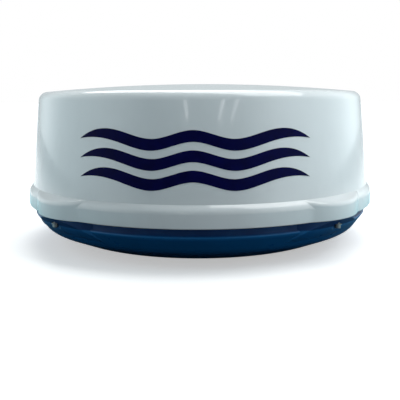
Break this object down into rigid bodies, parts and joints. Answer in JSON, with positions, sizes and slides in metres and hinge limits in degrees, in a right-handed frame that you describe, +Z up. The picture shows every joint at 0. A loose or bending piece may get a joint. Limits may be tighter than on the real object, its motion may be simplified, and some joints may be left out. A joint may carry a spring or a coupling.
{
  "type": "radar dome antenna",
  "caption": "Round marine radome with a white crowned dome over a blue bowl base; inside, a geared turntable spins a slotted waveguide radiator.",
  "frame": {"origin": "centre of the mounting plane, under the scanner's axis, at the bottom of the mounting pads", "axes": "+Z up along the scanner's axis, -Y towards the front with the graphic, +Y towards the cable gland, +X to the right of a viewer facing the front"},
  "size_m": [0.645, 0.645, 0.285],
  "materials": {
    "radome_gelcoat": "gloss",
    "decal_vinyl": "gloss",
    "base_paint": "gloss",
    "black_rubber": "matte",
    "stainless": "satin",
    "zinc_steel": "satin",
    "brass": "satin",
    "black_nylon": "matte",
    "cast_aluminium": "cast",
    "sheet_aluminium": "chromated",
    "bearing_steel": "ground",
    "gear_acetal": "matte",
    "motor_black": "satin",
    "pcb_green": "solder mask",
    "terminal_green": "matte",
    "tinplate": "bright",
    "magnet_grey": "matte",
    "window_white": "matte",
    "lead_grey": "matte"
  },
  "bodies": {
    "base": {"lower_base": "base_paint", "rim_gasket": "black_rubber", "radome_bolts": "stainless", "bolt_washers": "stainless", "mounting_inserts": "stainless", "gland_body": "black_nylon", "gland_nut": "black_nylon", "gland_seal": "black_rubber", "gland_locknut": "black_nylon", "breather_plug": "black_nylon", "ground_screw": "stainless", "ground_washer": "stainless", "cable_clamp": "zinc_steel", "chassis_plate": "sheet_aluminium", "m5_screws": "zinc_steel", "bearing_housing": "cast_aluminium", "bearing_outer_rings": "bearing_steel", "bearing_balls": "bearing_steel", "motor_bracket": "zinc_steel", "gearbox": "cast_aluminium", "chassis_spacers": "cast_aluminium", "scanner_motor": "motor_black", "pulse_sensor": "black_nylon", "heading_bracket": "zinc_steel", "heading_sensor": "black_nylon", "transceiver_case": "cast_aluminium", "transceiver_cover": "sheet_aluminium", "magnetron": "magnet_grey", "circulator": "cast_aluminium", "modulator_board": "pcb_green", "feed_waveguide": "brass", "rotary_joint_stator": "brass", "receiver_board": "pcb_green", "receiver_shield": "tinplate", "control_board": "pcb_green", "terminal_blocks": "terminal_green", "board_standoffs": "brass", "m3_screws": "zinc_steel", "motor_lead": "lead_grey", "transceiver_lead": "lead_grey", "sensor_lead": "lead_grey"},
    "radome": {"upper_radome": "radome_gelcoat", "radome_inserts": "brass", "front_decal": "decal_vinyl"},
    "antenna": {"antenna_shaft": "zinc_steel", "bearing_inner_rings": "bearing_steel", "shaft_nut": "zinc_steel", "main_gear": "gear_acetal", "heading_magnet": "magnet_grey", "radiator_bracket": "cast_aluminium", "hub_screws": "zinc_steel", "coax_line": "brass", "slotted_waveguide": "sheet_aluminium", "horn_flares": "sheet_aluminium", "radiator_window": "window_white", "radiator_end_plates": "sheet_aluminium", "radiator_screws": "zinc_steel"},
    "motor_pinion": {"output_shaft": "stainless", "pinion": "brass", "encoder_disc": "black_nylon"}
  },
  "joints": [
    {"name": "radome_lift", "type": "slide", "parent": "base", "child": "radome", "axis": [0, 0, 1], "range_m": [0, 0.3]},
    {"name": "antenna_spin", "type": "hinge", "parent": "base", "child": "antenna", "pos_m": [0, 0, 0.11], "axis": [0, 0, 1], "continuous": true},
    {"name": "pinion_spin", "type": "hinge", "parent": "base", "child": "motor_pinion", "pos_m": [0.0945, 0, 0.11], "axis": [0, 0, 1], "continuous": true}
  ],
  "couplings": [
    {"joint": "pinion_spin", "follows": "antenna_spin", "ratio": -6}
  ]
}
